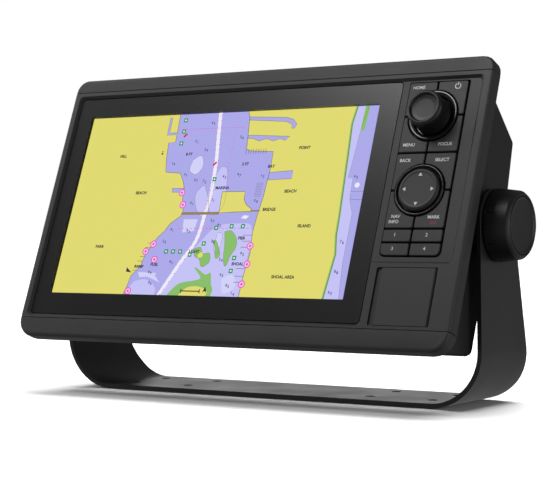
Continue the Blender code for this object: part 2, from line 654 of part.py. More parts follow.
def build_shell(face):
    shell = piece("rear_housing", shell_block(0, SHELL_HALF, SHELL_END_ROUND), "shell", face)
    wide = SHELL_HALF + 20
    cut(shell, box(-wide, wide, -5, SHELL_FRONT, -120, 120))
    ears = plate(-EAR_HALF, EAR_HALF, EAR_BOTTOM, EAR_TOP, SHELL_FRONT, SHELL_FRONT + EAR_THICK, radius=3)
    join(shell, ears)

    bay = SOCKET_BAY
    hollow = cut(shell, shell_block(-WALL, SHELL_HALF - WALL, 2.0))
    floor = [bay["left"] - 4, bay["right"] + 4, SOCKET_FLOOR - 3, 90, bay["bottom"] - 4, bay["top"] + 4]
    cut(hollow, box(*floor))
    cut(shell, plate(**bay, near=SOCKET_FLOOR, far=90, radius=4))

    boss = [(10, 133), (10, 144.6), (BOSS_RADIUS, 144.6), (BOSS_RADIUS, BOSS_FACE - 0.8), (17.2, BOSS_FACE)]
    for side in (-1, 1):
        profile = [(radius, side * x) for radius, x in boss]
        join(shell, turned(profile, "X", (0, PIVOT_DEPTH, PIVOT_RISE), 28))
        near, far = INSERT_INNER_END - GAP, BOSS_FACE + OVERSHOOT
        bore = rod(INSERT_RADIUS + GAP, side * near, side * far, "X", (0, PIVOT_DEPTH, PIVOT_RISE))
        cut(shell, bore)

    holes = [rod(radius - 1.2, 40, 60, "Y", (x, 0, SOCKET_Z), 16) for _, x, radius in SOCKETS]
    holes.append(rod(VENT_RADIUS + GAP, 40, 70, "Y", (VENT[0], 0, VENT[1]), 12))
    for side in (-1, 1):
        for z in SCREW_ZS:
            near, far = SHELL_FRONT - 2, SHELL_FRONT + 5
            holes.append(rod(SCREW_RADIUS + 0.4, near, far, "Y", (side * SCREW_X, 0, z), 12))
    cut(shell, merged(holes))


def build_rear_fittings(face):
    for name, x, radius in SOCKETS:
        neck, bore, flange = radius - 1.6, radius - SOCKET_WALL, radius + 1.5
        near, far = SOCKET_FLOOR + GAP, SOCKET_FLOOR + 2.3
        profile = [(neck, SOCKET_FLOOR - 10), (neck, near), (flange, near), (flange, far), (radius, far)]
        profile += [(radius, SOCKET_END), (bore, SOCKET_END), (bore, SOCKET_END - 10)]
        piece(name, turned(profile, "Y", segments=16), "shell", face, (x, 0, SOCKET_Z))
    back = SHELL_PROFILE[1][0]
    vent = [(VENT_RADIUS, back - 4.7), (VENT_RADIUS, back + GAP), (5.5, back + GAP), (5.5, back + 1.7)]
    vent.append((4.8, back + 2.3))
    piece("vent_plug", turned(vent, "Y", segments=16), "rubber", face, (VENT[0], 0, VENT[1]))

    number = 0
    for side in (-1, 1):
        for z in SCREW_ZS:
            number += 1
            head = SHELL_FRONT + EAR_THICK + GAP
            screw = [(SCREW_RADIUS, SCREW_TIP), (SCREW_RADIUS, head), (SCREW_HEAD, head)]
            screw += [(SCREW_HEAD, head + 1.4), (SCREW_HEAD - 0.7, head + 2.0)]
            place = (side * SCREW_X, 0, z)
            piece(f"case_screw_{number}", turned(screw, "Y", segments=12), "steel", face, place)


def build_pivot_parts(face):
    for side, name in ((-1, "left"), (1, "right")):
        place = (0, PIVOT_DEPTH, PIVOT_RISE)
        outer, bore, far = INSERT_RADIUS, STUD_RADIUS + 0.4, BOSS_FACE - 0.2
        insert = [(outer, INSERT_INNER_END), (outer, far), (bore, far), (bore, INSERT_INNER_END)]
        insert = [(radius, side * x) for radius, x in insert]
        piece(f"{name}_insert", turned(insert, "X", segments=16, ring_shaped=True), "brass", face, place)
        near, far, bore = BOSS_FACE + GAP, ARM_OUTSIDE - STRIP - GAP, STUD_RADIUS + 1
        pad = [(PAD_RADIUS, near), (PAD_RADIUS, far), (bore, far), (bore, near)]
        pad = [(radius, side * x) for radius, x in pad]
        piece(f"{name}_friction_pad", turned(pad, "X", ring_shaped=True), "rubber", face, place)


def build_electronics(face):
    plate_shape = plate(-138, 98, -68, 68, 13.2, 14.7, radius=3)
    chassis = piece("chassis_plate", plate_shape, "sheet", face)
    cut(chassis, merged([plate(x - 18, x + 18, -40, 40, 12, 16, radius=6) for x in (-95, -35, 45)]))
    board = piece("main_board", plate(-122, 82, -60, 60, 19, 20.6), "board", face)
    chips = [(-60, -20, 5, 40), (0, 18, 28, 46), (30, 42, -10, 10), (-100, -80, -40, -24), (50, 72, 30, 48)]
    join(board, merged([box(left, right, 20, 23, low, high) for left, right, low, high in chips]))
    piece("heat_spreader", plate(-66, -14, 0, 45, 23.3, 27.3, radius=2), "sheet", face)
    piece("gps_antenna", box(20, 48, 22, 47, 55, 59.5), "silicone", face)


def build_head():
    tilt = linked("tilt_axis", None, (0, PIVOT_Y, PIVOT_Z), None)
    tilt.rotation_euler.x = -TILT
    face = linked("face", None, (0, -PIVOT_DEPTH, -PIVOT_RISE), tilt)
    build_bezel(face)
    build_trims(face)
    build_display(face)
    build_keys(face)
    build_keypad(face)
    build_encoder(face)
    build_card_bay(face)
    build_shell(face)
    build_rear_fittings(face)
    build_pivot_parts(face)
    build_electronics(face)


def main():
    for obj in list(bpy.data.objects):
        bpy.data.objects.remove(obj, do_unlink=True)
    build_bracket()
    build_clamp(-1, "left")
    build_clamp(1, "right")
    build_head()


main()
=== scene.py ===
"""The looks of a marine chartplotter display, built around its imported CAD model.

Lengths are in millimetres and are scaled to metres where a mesh or a place is made. Most pieces are made in
the face frame: origin at the centre of the head's front plane, X right, Y into the head, Z up the face.
"""

import json
import math
import random

import bmesh
import bpy
from mathutils import Matrix, Vector


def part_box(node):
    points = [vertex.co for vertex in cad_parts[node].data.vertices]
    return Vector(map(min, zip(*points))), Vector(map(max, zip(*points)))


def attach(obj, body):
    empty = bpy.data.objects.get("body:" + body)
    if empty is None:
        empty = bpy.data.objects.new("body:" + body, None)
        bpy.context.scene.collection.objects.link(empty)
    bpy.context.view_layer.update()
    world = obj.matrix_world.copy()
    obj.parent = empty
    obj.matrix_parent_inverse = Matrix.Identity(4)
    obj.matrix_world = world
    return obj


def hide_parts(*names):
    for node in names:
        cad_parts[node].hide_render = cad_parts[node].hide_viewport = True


MM = 0.001
PIVOT_DEPTH, PIVOT_RISE = 42.3, 1.2  # the tilt axis in the face frame
HUB_X, KNOB_Z, DPAD_Z = 122.9, 55.2, 7.6
PICTURE_SIZE = (224.7, 125.8)  # the lit part of a 10.1 inch panel
MASK_SLOPE = 1.6  # how much wider the black mask's window is at the glass's back

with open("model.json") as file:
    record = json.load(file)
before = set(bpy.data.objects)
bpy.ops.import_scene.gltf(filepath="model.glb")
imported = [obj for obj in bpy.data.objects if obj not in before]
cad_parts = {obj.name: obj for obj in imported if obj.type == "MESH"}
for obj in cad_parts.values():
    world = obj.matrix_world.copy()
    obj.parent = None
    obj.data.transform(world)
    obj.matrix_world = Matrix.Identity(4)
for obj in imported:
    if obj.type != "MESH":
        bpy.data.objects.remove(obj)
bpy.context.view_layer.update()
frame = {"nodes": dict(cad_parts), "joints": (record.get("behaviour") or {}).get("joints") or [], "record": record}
joints = {joint["name"]: joint for joint in frame["joints"]}

INTO = Vector(joints["home_key_press"]["axis"]).normalized()
RIGHT = Vector((1, 0, 0))
UP = RIGHT.cross(INTO)
PIVOT = Vector(joints["head_tilt"]["pos_m"])
FACE_ORIGIN = PIVOT - (INTO * PIVOT_DEPTH + UP * PIVOT_RISE) * MM
TURN = Matrix((RIGHT, INTO, UP)).transposed().to_4x4()
FACE = Matrix.Translation(FACE_ORIGIN) @ TURN @ Matrix.Scale(MM, 4)
CLAMP = Matrix.Translation(PIVOT) @ Matrix.Scale(MM, 4)


def face_box(name):
    """Lowest and highest corner of a CAD node in the face frame, in millimetres."""
    inverse = FACE.inverted()
    points = [inverse @ vertex.co for vertex in frame["nodes"][name].data.vertices]
    low = Vector([min(point[i] for point in points) for i in range(3)])
    return low, Vector([max(point[i] for point in points) for i in range(3)])


# ---------------------------------------------------------------- shapes


def rounded(corners, radii, steps=8):
    """A polygon whose corners are arcs. radii is one radius, or one for each corner."""
    if not isinstance(radii, (list, tuple)):
        radii = [radii] * len(corners)
    outline = []
    for i, (corner, radius) in enumerate(zip(corners, radii)):
        corner = Vector(corner)
        if radius <= 0:
            outline.append(tuple(corner))
            continue
        back = (Vector(corners[i - 1]) - corner).normalized()
        ahead = (Vector(corners[(i + 1) % len(corners)]) - corner).normalized()
        half = back.angle(ahead) / 2
        centre = corner + (back + ahead).normalized() * radius / math.sin(half)
        first = corner + back * radius / math.tan(half) - centre
        last = corner + ahead * radius / math.tan(half) - centre
        # slerp gives unit vectors.
        outline += [tuple(centre + first.slerp(last, k / steps) * radius) for k in range(steps + 1)]
    return outline


def softened(profile, radius, steps=4):
    """An open profile whose inner corners are arcs, as far as the stretches beside them allow."""
    result = [tuple(profile[0])]
    for i in range(1, len(profile) - 1):
        corner = Vector(profile[i])
        back, ahead = Vector(profile[i - 1]) - corner, Vector(profile[i + 1]) - corner
        half = back.angle(ahead) / 2
        reach = min(radius / math.tan(half), 0.45 * back.length, 0.45 * ahead.length)
        size = reach * math.tan(half)
        centre = corner + (back.normalized() + ahead.normalized()).normalized() * size / math.sin(half)
        first = corner + back.normalized() * reach - centre
        last = corner + ahead.normalized() * reach - centre
        if math.pi - 2 * half < math.radians(4):
            result.append(tuple(corner))
            continue
        result += [tuple(centre + first.slerp(last, k / steps) * size) for k in range(steps + 1)]
    return result + [tuple(profile[-1])]


def box_corners(left, right, bottom, top):
    return [(left, bottom), (right, bottom), (right, top), (left, top)]


def loft(rings, ring_shaped=False):
    """Points and faces of a body through rings of equal length. A ring-shaped one meets its own start."""
    count = len(rings[0])
    points = [tuple(point) for ring in rings for point in ring]
    spans = len(rings) if ring_shaped else len(rings) - 1
    faces = []
    for k in range(spans):
        near, far = k * count, (k + 1) % len(rings) * count
        for i in range(count):
            j = (i + 1) % count
            faces.append((near + i, near + j, far + j, far + i))
    if not ring_shaped:
        faces.append(tuple(range(count)))
        faces.append(tuple(range(len(points) - count, len(points))))
    return points, faces


def merged(shapes):
    points, faces = [], []
    for more_points, more_faces in shapes:
        start = len(points)
        points += more_points
        faces += [tuple(start + i for i in face) for face in more_faces]
    return points, faces


def prism(outline, near, far):
    return loft([[(x, y, z) for x, z in outline] for y in (near, far)])


def turned(profile, centre, axis="Y", segments=96, ring_shaped=False):
    """A round body from (radius, distance along the axis) points."""
    along = "XYZ".index(axis)
    across = [i for i in range(3) if i != along]
    rings = []
    for radius, distance in profile:
        ring = []
        for k in range(segments):
            turn = 2 * math.pi * k / segments
            point = list(centre)
            point[along] += distance
            point[across[0]] += radius * math.cos(turn)
            point[across[1]] += radius * math.sin(turn)
            ring.append(tuple(point))
        rings.append(ring)
    return loft(rings, ring_shaped)


def strip(route, width):
    """The outline of a line of some width along an open route."""
    left, right = [], []
    for i, point in enumerate(route):
        before, after = Vector(route[max(i - 1, 0)]), Vector(route[min(i + 1, len(route) - 1)])
        way = (after - before).normalized()
        side = Vector((-way.y, way.x)) * width / 2
        left.append(tuple(Vector(point) + side))
        right.append(tuple(Vector(point) - side))
    return left + right[::-1]


def arc(centre, radius, start, end, steps=24):
    turns = [math.radians(start + (end - start) * k / steps) for k in range(steps + 1)]
    return [(centre[0] + radius * math.cos(turn), centre[1] + radius * math.sin(turn)) for turn in turns]


def through(points, steps=6):
    """A smooth open curve through the points."""
    ends = [points[0]] + list(points) + [points[-1]]
    route = []
    for a, b, c, d in zip(ends, ends[1:], ends[2:], ends[3:]):
        a, b, c, d = Vector(a), Vector(b), Vector(c), Vector(d)
        for k in range(steps):
            t = k / steps
            bend = 2 * a - 5 * b + 4 * c - d
            twist = 3 * b - a - 3 * c + d
            route.append(tuple(0.5 * (2 * b + (c - a) * t + bend * t**2 + twist * t**3)))
    return route + [tuple(points[-1])]


def piece(name, shape, finish, body, place=FACE, smooth=35, bevel=0.0, weigh=False, replaces=()):
    """A visible piece that rides on a body. Its shape is in millimetres in the frame of `place`."""
    points, faces = shape
    bm = bmesh.new()
    corners = [bm.verts.new(place @ Vector(point)) for point in points]
    for face in faces:
        bm.faces.new([corners[i] for i in face])
    bmesh.ops.recalc_face_normals(bm, faces=bm.faces)
    mesh = bpy.data.meshes.new(name)
    bm.to_mesh(mesh)
    bm.free()
    mesh.shade_smooth()
    mesh.set_sharp_from_angle(angle=math.radians(smooth))
    mesh.materials.append(finish)
    obj = bpy.data.objects.new(name, mesh)
    bpy.context.scene.collection.objects.link(obj)
    if bevel:
        soften(obj, bevel, smooth)
    if weigh:
        weigh_normals(obj)
    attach(obj, body)
    if replaces:
        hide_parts(*replaces)
    return obj


def loose(name, shape):
    """An object in millimetres that rides on nothing, for making other shapes."""
    mesh = bpy.data.meshes.new(name)
    mesh.from_pydata(shape[0], [], shape[1])
    bm = bmesh.new()
    bm.from_mesh(mesh)
    bmesh.ops.recalc_face_normals(bm, faces=bm.faces)
    bm.to_mesh(mesh)
    bm.free()
    obj = bpy.data.objects.new(name, mesh)
    bpy.context.scene.collection.objects.link(obj)
    return obj


def carved(shape, *steps):
    """A shape after steps of (Boolean operation, tool's shape) or ("BEVEL", width)."""
    block, tools = loose("block", shape), []
    for operation, tool in steps:
        if operation == "BEVEL":
            soften(block, tool, unit=1)
            continue
        tools.append(loose("tool", tool))
        boolean = block.modifiers.new("cut", "BOOLEAN")
        boolean.operation, boolean.solver, boolean.object = operation, "EXACT", tools[-1]
    mesh = bpy.data.meshes.new_from_object(block.evaluated_get(bpy.context.evaluated_depsgraph_get()))
    result = [tuple(v.co) for v in mesh.vertices], [tuple(polygon.vertices) for polygon in mesh.polygons]
    for obj in [block] + tools:
        bpy.data.objects.remove(obj)
    bpy.data.meshes.remove(mesh)
    return result


def weigh_normals(obj):
    """Keeps large flat faces flat beside their rounded edges."""
    weigh = obj.modifiers.new("normals", "WEIGHTED_NORMAL")
    weigh.keep_sharp = True


def soften(obj, width, angle=35, unit=MM):
    """Rounds an object's edges with a Bevel modifier. `unit` is a millimetre in the object's own coordinates."""
    bevel = obj.modifiers.new("edges", "BEVEL")
    bevel.width = width * unit
    bevel.segments = 3
    bevel.limit_method = "ANGLE"
    bevel.angle_limit = math.radians(angle)
    bevel.use_clamp_overlap = True


# ---------------------------------------------------------------- materials


def srgb(red, green, blue):
    """A colour given as 0 to 255 steps, as linear values."""
    values = [value / 255 for value in (red, green, blue)]
    return [value / 12.92 if value <= 0.04045 else ((value + 0.055) / 1.055) ** 2.4 for value in values]


class Finish:
    """A procedural material about one Principled shader."""

    def __init__(self, name, colour, roughness, metallic=0.0, specular=0.5):
        self.material = bpy.data.materials.new(name)
        self.material.use_nodes = True
        self.tree = self.material.node_tree
        self.shader = self.tree.nodes["Principled BSDF"]
        self.colour, self.roughness = colour, roughness
        self.set("Base Color", (*colour, 1.0))
        self.set("Roughness", roughness)
        self.set("Metallic", metallic)
        self.set("Specular IOR Level", specular)
        self.place = self.add("ShaderNodeTexCoord").outputs["Object"]

    def set(self, socket, value):
        self.shader.inputs[socket].default_value = value

    def add(self, kind, **values):
        node = self.tree.nodes.new(kind)
        for name, value in values.items():
            setattr(node, name, value)
        return node

    def link(self, output, node, socket):
        self.tree.links.new(output, node.inputs[socket])

    def noise(self, size, detail=2.0, stretch=None):
        """Noise whose features are about `size` millimetres."""
        texture = self.add("ShaderNodeTexNoise")
        texture.inputs["Scale"].default_value = 1 / (size * MM)
        texture.inputs["Detail"].default_value = detail
        place = self.place
        if stretch:
            mapping = self.add("ShaderNodeMapping")
            mapping.inputs["Scale"].default_value = stretch
            self.link(place, mapping, "Vector")
            place = mapping.outputs["Vector"]
        self.link(place, texture, "Vector")
        return texture.outputs["Fac"]

    def spread(self, value, low, high):
        """A noise value carried to a range."""
        ramp = self.add("ShaderNodeMapRange")
        ramp.inputs["From Min"].default_value = 0.3
        ramp.inputs["From Max"].default_value = 0.7
        ramp.inputs["To Min"].default_value = low
        ramp.inputs["To Max"].default_value = high
        self.link(value, ramp, "Value")
        return ramp.outputs["Result"]

    def tint(self, value, share):
        """Base colour that varies by a share of itself."""
        mix = self.add("ShaderNodeMix", data_type="RGBA")
        mix.inputs["A"].default_value = (*[c * (1 - share) for c in self.colour], 1.0)
        mix.inputs["B"].default_value = (*[c * (1 + share) for c in self.colour], 1.0)
        self.link(self.spread(value, 0.0, 1.0), mix, "Factor")
        self.link(mix.outputs["Result"], self.shader, "Base Color")

    def gloss(self, value, by):
        self.link(self.spread(value, self.roughness - by, self.roughness + by), self.shader, "Roughness")

    def relief(self, value, depth, edge=0.0, strength=1.0):
        """Fine relief, `depth` millimetres deep, over edges rounded by `edge` millimetres."""
        bump = self.add("ShaderNodeBump")
        bump.inputs["Strength"].default_value = strength
        bump.inputs["Distance"].default_value = depth * MM
        self.link(value, bump, "Height")
        if edge:
            bevel = self.add("ShaderNodeBevel", samples=4)
            bevel.inputs["Radius"].default_value = edge * MM
            self.link(bevel.outputs["Normal"], bump, "Normal")
        self.link(bump.outputs["Normal"], self.shader, "Normal")


def moulded(name, colour, roughness, grain=0.35, depth=0.02, edge=0.0, specular=0.5):
    """Moulded plastic with a fine eroded grain."""
    finish = Finish(name, colour, roughness, specular=specular)
    broad = finish.noise(40, 3.0)
    finish.tint(broad, 0.08)
    finish.gloss(broad, 0.04)
    finish.relief(finish.noise(grain, 3.0), depth, edge)
    return finish.material


def powder_coat(name, colour, roughness, edge=0.0):
    """Powder coat: orange peel about a millimetre across under a fine grain."""
    finish = Finish(name, colour, roughness)
    peel, fine = finish.noise(1.4, 1.0), finish.noise(0.3, 2.0)
    total = finish.add("ShaderNodeMath", operation="MULTIPLY_ADD")
    total.inputs[1].default_value = 0.25
    finish.link(fine, total, 0)
    finish.link(peel, total, 2)
    finish.tint(finish.noise(60, 3.0), 0.08)
    finish.gloss(finish.noise(30, 3.0), 0.04)
    finish.relief(total.outputs["Value"], 0.035, edge)
    return finish.material


def glossy(name, colour, roughness=0.12, marks=0.04, wave=0.01):
    """Polished plastic with faint handling marks."""
    finish = Finish(name, colour, roughness, specular=0.6)
    finish.gloss(finish.noise(6, 4.0), marks)
    finish.tint(finish.noise(20), 0.05)
    finish.relief(finish.noise(8, 1.0), wave)
    return finish.material


def metal(name, colour, roughness, stretch=(1, 1, 1)):
    """Bare metal with fine lines along one way."""
    finish = Finish(name, colour, roughness, metallic=1.0)
    lines = finish.noise(0.8, 3.0, stretch)
    finish.tint(lines, 0.10)
    finish.gloss(lines, 0.08)
    finish.relief(lines, 0.01, 0.15)
    return finish.material


def rubber(name, colour, roughness=0.75):
    finish = Finish(name, colour, roughness, specular=0.3)
    finish.tint(finish.noise(5, 4.0), 0.15)
    finish.relief(finish.noise(0.5, 4.0), 0.03, 0.2)
    return finish.material


def circuit_board(name):
    """Green solder resist with darker and lighter tracks."""
    finish = Finish(name, (0.010, 0.090, 0.040), 0.4)
    tracks = finish.add("ShaderNodeTexBrick")
    tracks.inputs["Scale"].default_value = 120
    tracks.inputs["Color1"].default_value = (0.010, 0.090, 0.040, 1)
    tracks.inputs["Color2"].default_value = (0.012, 0.110, 0.050, 1)
    tracks.inputs["Mortar"].default_value = (0.008, 0.060, 0.028, 1)
    finish.link(finish.place, tracks, "Vector")
    finish.link(tracks.outputs["Color"], finish.shader, "Base Color")
    finish.relief(tracks.outputs["Fac"], 0.03)
    return finish.material


def printed(name, colour):
    """Ink: flat colour with a little unevenness."""
    finish = Finish(name, colour, 0.5)
    finish.tint(finish.noise(0.6, 3.0), 0.10)
    finish.relief(finish.noise(0.2), 0.004)
    return finish.material


def lit(name, colour, strength=1.0):
    """Part of a lit picture. Its light is what is seen; the surface under it is black and matt."""
    finish = Finish(name, (0.0, 0.0, 0.0), 0.9, specular=0.0)
    finish.set("Emission Color", (*colour, 1.0))
    finish.set("Emission Strength", strength)
    finish.gloss(finish.noise(3), 0.05)
    return finish.material


def clear_glass(name):
    """The window in the cover glass: what is behind it shows, and it mirrors a little."""
    finish = Finish(name, (1.0, 1.0, 1.0), 0.04)
    through_it = finish.add("ShaderNodeBsdfTransparent")
    mirror = finish.add("ShaderNodeBsdfGlossy")
    mirror.inputs["Roughness"].default_value = 0.03
    # A Fresnel node would turn the pane's inner faces into full mirrors, so this is Schlick's formula.
    edge_on = finish.add("ShaderNodeLayerWeight")
    edge_on.inputs["Blend"].default_value = 0.5
    power = finish.add("ShaderNodeMath", operation="POWER")
    power.inputs[1].default_value = 5.0
    finish.link(edge_on.outputs["Facing"], power, 0)
    share = finish.add("ShaderNodeMath", operation="MULTIPLY_ADD")
    share.inputs[1].default_value, share.inputs[2].default_value = 0.9, 0.02
    finish.link(power.outputs["Value"], share, 0)
    mix = finish.add("ShaderNodeMixShader")
    finish.link(share.outputs["Value"], mix, 0)
    finish.link(through_it.outputs["BSDF"], mix, 1)
    finish.link(mirror.outputs["BSDF"], mix, 2)
    output = finish.tree.nodes["Material Output"]
    finish.link(mix.outputs["Shader"], output, "Surface")
    finish.tree.nodes.remove(finish.shader)
    return finish.material


MATERIALS = {
    "bracket_coat": powder_coat("bracket_coat", (0.018, 0.018, 0.019), 0.38, 0.5),
    "bezel_plastic": moulded("bezel_plastic", (0.028, 0.028, 0.029), 0.48, edge=0.3),
    "housing_plastic": moulded("housing_plastic", (0.010, 0.010, 0.011), 0.55, edge=0.5),
    "knob_plastic": moulded("knob_plastic", (0.010, 0.010, 0.011), 0.42, edge=0.3),
    "key_plastic": moulded("key_plastic", (0.026, 0.026, 0.027), 0.48, grain=0.25, depth=0.01),
    "gloss_trim": glossy("gloss_trim", (0.012, 0.012, 0.013)),
    "screen_glass": glossy("screen_glass", (0.010, 0.010, 0.011), 0.26, 0.004, 0.0004),
    "lcd": moulded("lcd", (0.05, 0.05, 0.055), 0.3),
    "rubber": rubber("rubber", (0.015, 0.015, 0.015)),
    "silicone": rubber("silicone", (0.20, 0.20, 0.21), 0.6),
    "ceramic": moulded("ceramic", (0.45, 0.40, 0.33), 0.5),
    "circuit_board": circuit_board("circuit_board"),
    "sheet_metal": metal("sheet_metal", (0.55, 0.55, 0.56), 0.35, (0.05, 1, 1)),
    "steel": metal("steel", (0.50, 0.50, 0.50), 0.28),
    "brass": metal("brass", (0.60, 0.42, 0.15), 0.3),
}


# Width of the rounding on the edges of CAD nodes that stay, in millimetres; keys have their own, other nodes none
KEY_EDGE_WIDTH = 0.12
SMOOTH_LIMIT = 34  # degrees between faces, above which an edge stays sharp
EDGE_WIDTHS = {"front_bezel": 0.45, "top_trim": 0.3, "bottom_trim": 0.3, "rear_housing": 0.7, "card_door": 0.25}


def smooth_by_angle(limit):
    """Geometry nodes that shade a mesh smooth, except over edges sharper than the limit."""
    group = bpy.data.node_groups.new("smooth_by_angle", "GeometryNodeTree")
    for way in ("INPUT", "OUTPUT"):
        group.interface.new_socket("Geometry", in_out=way, socket_type="NodeSocketGeometry")
    nodes, links = group.nodes, group.links
    plain = nodes.new("GeometryNodeRemoveAttribute")
    plain.inputs["Name"].default_value = "custom_normal"
    faces, edges = nodes.new("GeometryNodeSetShadeSmooth"), nodes.new("GeometryNodeSetShadeSmooth")
    faces.domain, edges.domain = "FACE", "EDGE"
    gentle = nodes.new("FunctionNodeCompare")
    gentle.data_type, gentle.operation = "FLOAT", "LESS_THAN"
    gentle.inputs["B"].default_value = math.radians(limit)
    links.new(nodes.new("GeometryNodeInputMeshEdgeAngle").outputs["Unsigned Angle"], gentle.inputs["A"])
    links.new(gentle.outputs["Result"], edges.inputs["Shade Smooth"])
    links.new(nodes.new("NodeGroupInput").outputs[0], plain.inputs["Geometry"])
    links.new(plain.outputs["Geometry"], faces.inputs["Geometry"])
    links.new(faces.outputs["Geometry"], edges.inputs["Geometry"])
    links.new(edges.outputs["Geometry"], nodes.new("NodeGroupOutput").inputs[0])
    return group


def dress_nodes():
    """Each CAD node takes the material of its slot in the record, and soft edges and shading."""
    shading = smooth_by_angle(SMOOTH_LIMIT)
    for part in frame["record"]["subparts"]:
        obj = frame["nodes"][part["node"]]
        finish = MATERIALS[part["material_slot"]]
        if not obj.material_slots:
            obj.data.materials.append(finish)
        for slot in obj.material_slots:
            slot.material = finish
        weld = obj.modifiers.new("weld", "WELD")
        weld.merge_threshold = 1e-6
        flat = obj.modifiers.new("flat", "DECIMATE")
        flat.decimate_type = "DISSOLVE"
        flat.angle_limit = math.radians(0.5)
        width = EDGE_WIDTHS.get(part["node"], KEY_EDGE_WIDTH if part["material_slot"] == "key_plastic" else 0)
        if width:
            soften(obj, width)
        obj.modifiers.new("shading", "NODES").node_group = shading
        weigh_normals(obj)


# ---------------------------------------------------------------- bracket and clamp knobs

STRIP = 2.85  # thickness of the bracket's strip
BEND_RADIUS = 34.8
TAPER_FROM = 12.6  # height where the arms start to taper
FRONT_LEAN, REAR_LEAN = -0.015, -0.233
BASE_HOLE_X, BASE_HOLE_Y, BASE_HOLE_RADIUS = (69.84, 113.25), (-14.8, 18.6), 3.25
STUD_HOLE_RADIUS = 3.5
STRIP_EDGE_WIDTH = 0.5
BRACKET = Matrix.Scale(MM, 4)


def rod(radius, near, far, axis, centre=(0, 0, 0), segments=48):
    return turned([(radius, near), (radius, far)], centre, axis, segments)


def build_bracket():
    """The bent strip: its front view carried along Y and kept within its side view."""
    low, high = (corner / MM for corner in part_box("bail_bracket"))
    outside, inside, above = high.x, high.x - STRIP, high.z + 10
    corners = [(-outside, above), (-outside, 0), (outside, 0), (outside, above)]
    corners += [(inside, above), (inside, STRIP), (-inside, STRIP), (-inside, above)]
    bend = BEND_RADIUS - STRIP
    front = prism(rounded(corners, [0, BEND_RADIUS, BEND_RADIUS, 0, 0, bend, bend, 0], 28), -60, 60)
    rise = high.z - TAPER_FROM
    side = [(low.y, -5), (high.y, -5), (high.y, TAPER_FROM)]
    side += [(high.y + REAR_LEAN * rise, high.z), (low.y + FRONT_LEAN * rise, high.z), (low.y, TAPER_FROM)]
    side = rounded(side, [0, 0, 12, 18, 18, 12], 14)
    side = loft([[(x, y, z) for y, z in side] for x in (-outside - 5, outside + 5)])
    holes = []
    for x in BASE_HOLE_X:
        for y in BASE_HOLE_Y:
            holes += [rod(BASE_HOLE_RADIUS, -3, STRIP + 3, "Z", (across, y, 0)) for across in (-x, x)]
    pivot = PIVOT / MM
    holes.append(rod(STUD_HOLE_RADIUS, -outside - 5, outside + 5, "X", (0, pivot.y, pivot.z)))
    shape = carved(front, ("INTERSECT", side), ("BEVEL", STRIP_EDGE_WIDTH))
    shape = carved(shape, ("DIFFERENCE", merged(holes)))
    piece("bail_bracket_strip", shape, MATERIALS["bracket_coat"], "bracket", BRACKET,
          weigh=True, replaces=["bail_bracket"])


NOTCHES, NOTCH_LENGTH, NOTCH_DEPTH = 7, 9.0, 1.4
FIRST_NOTCH = math.radians(20.5)  # above the horizontal, towards the screen
KNOB_RADIUS, KNOB_TOP_RADIUS, CAP_RADIUS, CAP_RECESS = 22.0, 20.4, 17.0, 1.2


def build_clamps():
    for side, name in ((-1, "left"), (1, "right")):
        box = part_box(f"{name}_knob")
        near, far = sorted(abs(corner.x) / MM for corner in box)
        stud_end = abs(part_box(f"{name}_stud")[0 if side < 0 else 1].x) / MM

        def along(profile, sign=side):
            return [(radius, sign * x) for radius, x in profile]

        rim = [(CAP_RADIUS + 0.4, far - CAP_RECESS), (CAP_RADIUS + 0.4, far), (KNOB_TOP_RADIUS - 1.5, far)]
        rim += [(KNOB_TOP_RADIUS, far - 1.8), (KNOB_RADIUS, near + 0.8), (KNOB_RADIUS - 0.8, near)]
        rim += [(3.3, near), (3.3, stud_end + 0.3)]
        knob = turned(along(softened(rim, 1.2, 5)), (0, 0, 0), "X", 112)
        notches = []
        for k in range(NOTCHES):
            turn = math.pi - FIRST_NOTCH + 2 * math.pi * k / NOTCHES
            outward = Vector((math.cos(turn), math.sin(turn)))
            across = Vector((-outward.y, outward.x))
            top, bottom = outward * (KNOB_RADIUS + 1), outward * (KNOB_RADIUS - NOTCH_DEPTH)
            groove = rounded([tuple(top - across * 1.1), tuple(top + across * 1.1), tuple(bottom)], [0, 0, 0.25], 4)
            start = near + 1.6
            ends = (side * start, side * (start + NOTCH_LENGTH))
            notches.append(loft([[(x, y, z) for y, z in groove] for x in ends]))
        piece(f"{name}_knob_grip", carved(knob, ("DIFFERENCE", merged(notches))), MATERIALS["knob_plastic"],
              f"{name}_knob", CLAMP, replaces=[f"{name}_knob"])
        face = [(CAP_RADIUS, far - CAP_RECESS + 0.3), (CAP_RADIUS, far - 0.1), (CAP_RADIUS - 0.6, far)]
        face += [(CAP_RADIUS - 1.5, far - 0.55), (11, far - 0.7), (3, far - 0.72)]
        cap = turned(along(softened(face, 0.5, 4)), (0, 0, 0), "X", 112)
        piece(f"{name}_knob_face", cap, MATERIALS["knob_plastic"], f"{name}_knob", CLAMP,
              replaces=[f"{name}_knob_cap"])


# ---------------------------------------------------------------- knob and pad


WELL_RADIUS = 16.0  # of the round wells in the keypad that the bowl and the ring line
BOWL_EDGE, BOWL_ROUND, BOWL_TOP = 15.2, 2.6, 0.4  # where the bowl's wall starts, its rounding and its depth there
RING_LIP = 0.7  # radius of the ring's rounded lip
PAD_SINK = 0.25  # how far the pad's middle lies behind its rim


